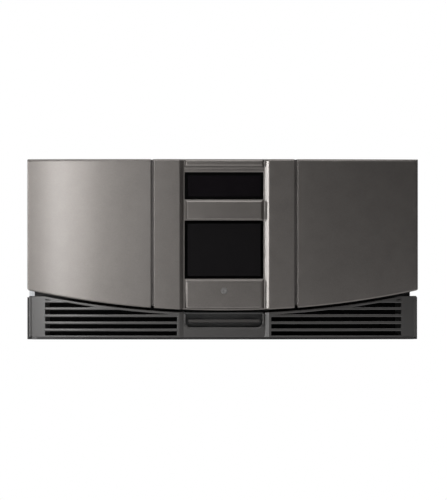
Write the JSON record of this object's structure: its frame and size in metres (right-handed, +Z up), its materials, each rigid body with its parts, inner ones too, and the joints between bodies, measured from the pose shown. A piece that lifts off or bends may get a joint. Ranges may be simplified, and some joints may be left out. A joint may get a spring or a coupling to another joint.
{
  "type": "data tape library",
  "caption": "Rack-mounted tape library with curved front doors, a touch screen, two sliding cartridge magazines, a picking robot and pull-out tape drives.",
  "frame": {"origin": "centre of the base, on the surface that the library rests on", "axes": "+X to the right seen from the front, +Y to the rear, +Z up"},
  "size_m": [0.4826, 0.711, 0.2222],
  "materials": {
    "bezel_paint": "warm grey metallic paint on moulded plastic",
    "black_rubber": "matt black",
    "smoked_window": "smoked, nearly black",
    "screen_glass": "dark glass",
    "board_plastic": "dark moulded",
    "button_plastic": "satin grey",
    "grille_plastic": "dark grey, fine grain",
    "dark_paint": "dark grey powder coat",
    "zinc_steel": "zinc plated sheet",
    "filter_foam": "open-cell foam",
    "polished_steel": "ground",
    "robot_aluminium": "anodised",
    "black_plastic": "black moulded",
    "finger_brass": "bare",
    "magazine_plastic": "black moulded",
    "cartridge_plastic": "dark blue-black",
    "handle_plastic": "grey-green moulded",
    "drive_aluminium": "satin case",
    "board_green": "green board with steel connectors"
  },
  "bodies": {
    "chassis": {"center_bezel": "bezel_paint", "center_bar": "bezel_paint", "button_panel": "bezel_paint", "window_gasket": "black_rubber", "view_window": "smoked_window", "touch_screen": "screen_glass", "display_module": "board_plastic", "base_lip": "dark_paint", "front_frame": "zinc_steel", "air_filter": "filter_foam", "hinge_brackets": "zinc_steel", "hinge_pins": "polished_steel", "latch_solenoids": "board_plastic", "base_pan": "zinc_steel", "left_side_wall": "zinc_steel", "right_side_wall": "zinc_steel", "top_cover": "zinc_steel", "rear_panel": "zinc_steel", "cover_screws": "polished_steel", "drive_bay": "zinc_steel", "magazine_decks": "zinc_steel", "track_rails": "polished_steel", "track_belt": "black_rubber", "track_motor": "black_plastic"},
    "left_door_leaf": {"left_door": "bezel_paint"},
    "right_door_leaf": {"right_door": "bezel_paint"},
    "grille": {"lower_grille": "grille_plastic", "pull_handle": "grille_plastic"},
    "button": {"power_button": "button_plastic"},
    "left_lock": {"left_lock_pin": "polished_steel"},
    "right_lock": {"right_lock_pin": "polished_steel"},
    "left_magazine_drawer": {"left_magazine": "magazine_plastic", "left_cartridges": "cartridge_plastic", "left_magazine_handle": "handle_plastic"},
    "right_magazine_drawer": {"right_magazine": "magazine_plastic", "right_cartridges": "cartridge_plastic", "right_magazine_handle": "handle_plastic"},
    "carriage": {"robot_carriage": "robot_aluminium", "mast_rods": "polished_steel", "lift_motor": "black_plastic"},
    "screw": {"lift_screw": "polished_steel"},
    "platform": {"lift_platform": "robot_aluminium"},
    "picker": {"picker_turntable": "robot_aluminium", "picker_housing": "black_plastic"},
    "gripper": {"picker_slide": "robot_aluminium"},
    "left_grip": {"left_finger": "finger_brass"},
    "right_grip": {"right_finger": "finger_brass"},
    "drive_pulley": {"motor_pulley": "robot_aluminium"},
    "tail_pulley": {"idler_pulley": "robot_aluminium"},
    "lower_drive": {"lower_canister": "zinc_steel", "lower_tape_drive": "drive_aluminium"},
    "upper_drive": {"upper_canister": "zinc_steel", "upper_tape_drive": "drive_aluminium"},
    "lower_drive_rotor": {"lower_drive_fan": "black_plastic"},
    "upper_drive_rotor": {"upper_drive_fan": "black_plastic"},
    "lower_supply": {"lower_power_supply": "zinc_steel"},
    "upper_supply": {"upper_power_supply": "zinc_steel"},
    "lower_supply_rotor": {"lower_supply_fan": "black_plastic"},
    "upper_supply_rotor": {"upper_supply_fan": "black_plastic"},
    "controller": {"controller_card": "board_green"}
  },
  "joints": [
    {"name": "left_door_hinge", "type": "hinge", "parent": "chassis", "child": "left_door_leaf", "pos_m": [-0.233, -0.31988, 0.13], "axis": [0, 0, -1], "range_deg": [0, 110]},
    {"name": "right_door_hinge", "type": "hinge", "parent": "chassis", "child": "right_door_leaf", "pos_m": [0.233, -0.31988, 0.13], "axis": [0, 0, 1], "range_deg": [0, 110]},
    {"name": "left_magazine_slide", "type": "slide", "parent": "chassis", "child": "left_magazine_drawer", "axis": [0, -1, 0], "range_m": [0, 0.1824]},
    {"name": "right_magazine_slide", "type": "slide", "parent": "chassis", "child": "right_magazine_drawer", "axis": [0, -1, 0], "range_m": [0, 0.1824]},
    {"name": "grille_pull", "type": "slide", "parent": "chassis", "child": "grille", "axis": [0, -1, 0], "range_m": [0, 0.025]},
    {"name": "power_button_press", "type": "slide", "parent": "chassis", "child": "button", "axis": [0, 1, 0], "range_m": [0, 0.002], "stiffness_N_per_m": 400, "springref_m": -0.0005},
    {"name": "left_lock_slide", "type": "slide", "parent": "chassis", "child": "left_lock", "axis": [-1, 0, 0], "range_m": [0, 0.009]},
    {"name": "right_lock_slide", "type": "slide", "parent": "chassis", "child": "right_lock", "axis": [1, 0, 0], "range_m": [0, 0.009]},
    {"name": "robot_track", "type": "slide", "parent": "chassis", "child": "carriage", "axis": [0, 1, 0], "range_m": [-0.111, 0.112]},
    {"name": "robot_lift", "type": "slide", "parent": "carriage", "child": "platform", "axis": [0, 0, 1], "range_m": [-0.0665, 0.071]},
    {"name": "lift_screw_turn", "type": "hinge", "parent": "carriage", "child": "screw", "pos_m": [0.08, -0.176, 0.1], "axis": [0, 0, 1], "range_deg": [-3400, 3400]},
    {"name": "picker_turn", "type": "hinge", "parent": "platform", "child": "picker", "pos_m": [0, -0.107, 0.1], "axis": [0, 0, 1], "range_deg": [-90, 90]},
    {"name": "picker_reach", "type": "slide", "parent": "picker", "child": "gripper", "axis": [0, 1, 0], "range_m": [0, 0.03]},
    {"name": "left_finger_pivot", "type": "hinge", "parent": "gripper", "child": "left_grip", "pos_m": [-0.057, -0.066, 0.116], "axis": [0, 0, -1], "range_deg": [0, 12]},
    {"name": "right_finger_pivot", "type": "hinge", "parent": "gripper", "child": "right_grip", "pos_m": [0.057, -0.066, 0.116], "axis": [0, 0, 1], "range_deg": [0, 12]},
    {"name": "motor_pulley_turn", "type": "hinge", "parent": "chassis", "child": "drive_pulley", "pos_m": [0.03, 0.076, 0.0145], "axis": [1, 0, 0], "range_deg": [-1350, 1350]},
    {"name": "idler_pulley_turn", "type": "hinge", "parent": "chassis", "child": "tail_pulley", "pos_m": [0.03, -0.296, 0.0145], "axis": [1, 0, 0], "range_deg": [-1350, 1350]},
    {"name": "lower_drive_slide", "type": "slide", "parent": "chassis", "child": "lower_drive", "axis": [0, 1, 0], "range_m": [0, 0.25]},
    {"name": "upper_drive_slide", "type": "slide", "parent": "chassis", "child": "upper_drive", "axis": [0, 1, 0], "range_m": [0, 0.25]},
    {"name": "lower_supply_slide", "type": "slide", "parent": "chassis", "child": "lower_supply", "axis": [0, 1, 0], "range_m": [0, 0.2]},
    {"name": "upper_supply_slide", "type": "slide", "parent": "chassis", "child": "upper_supply", "axis": [0, 1, 0], "range_m": [0, 0.2]},
    {"name": "controller_slide", "type": "slide", "parent": "chassis", "child": "controller", "axis": [0, 1, 0], "range_m": [0, 0.17]},
    {"name": "lower_drive_fan_spin", "type": "hinge", "parent": "lower_drive", "child": "lower_drive_rotor", "pos_m": [0, 0.3372, 0.057], "axis": [0, 1, 0], "continuous": true},
    {"name": "upper_drive_fan_spin", "type": "hinge", "parent": "upper_drive", "child": "upper_drive_rotor", "pos_m": [0, 0.3372, 0.159], "axis": [0, 1, 0], "continuous": true},
    {"name": "lower_supply_fan_spin", "type": "hinge", "parent": "lower_supply", "child": "lower_supply_rotor", "pos_m": [-0.125, 0.3372, 0.037], "axis": [0, 1, 0], "continuous": true},
    {"name": "upper_supply_fan_spin", "type": "hinge", "parent": "upper_supply", "child": "upper_supply_rotor", "pos_m": [-0.125, 0.3372, 0.099], "axis": [0, 1, 0], "continuous": true}
  ],
  "couplings": [
    {"joint": "left_magazine_slide", "follows": "left_door_hinge", "m_per_rad": 0.095},
    {"joint": "right_magazine_slide", "follows": "right_door_hinge", "m_per_rad": 0.095},
    {"joint": "lift_screw_turn", "follows": "robot_lift", "rad_per_m": 785.4},
    {"joint": "right_finger_pivot", "follows": "left_finger_pivot", "ratio": 1},
    {"joint": "motor_pulley_turn", "follows": "robot_track", "rad_per_m": -200},
    {"joint": "idler_pulley_turn", "follows": "robot_track", "rad_per_m": -200}
  ]
}
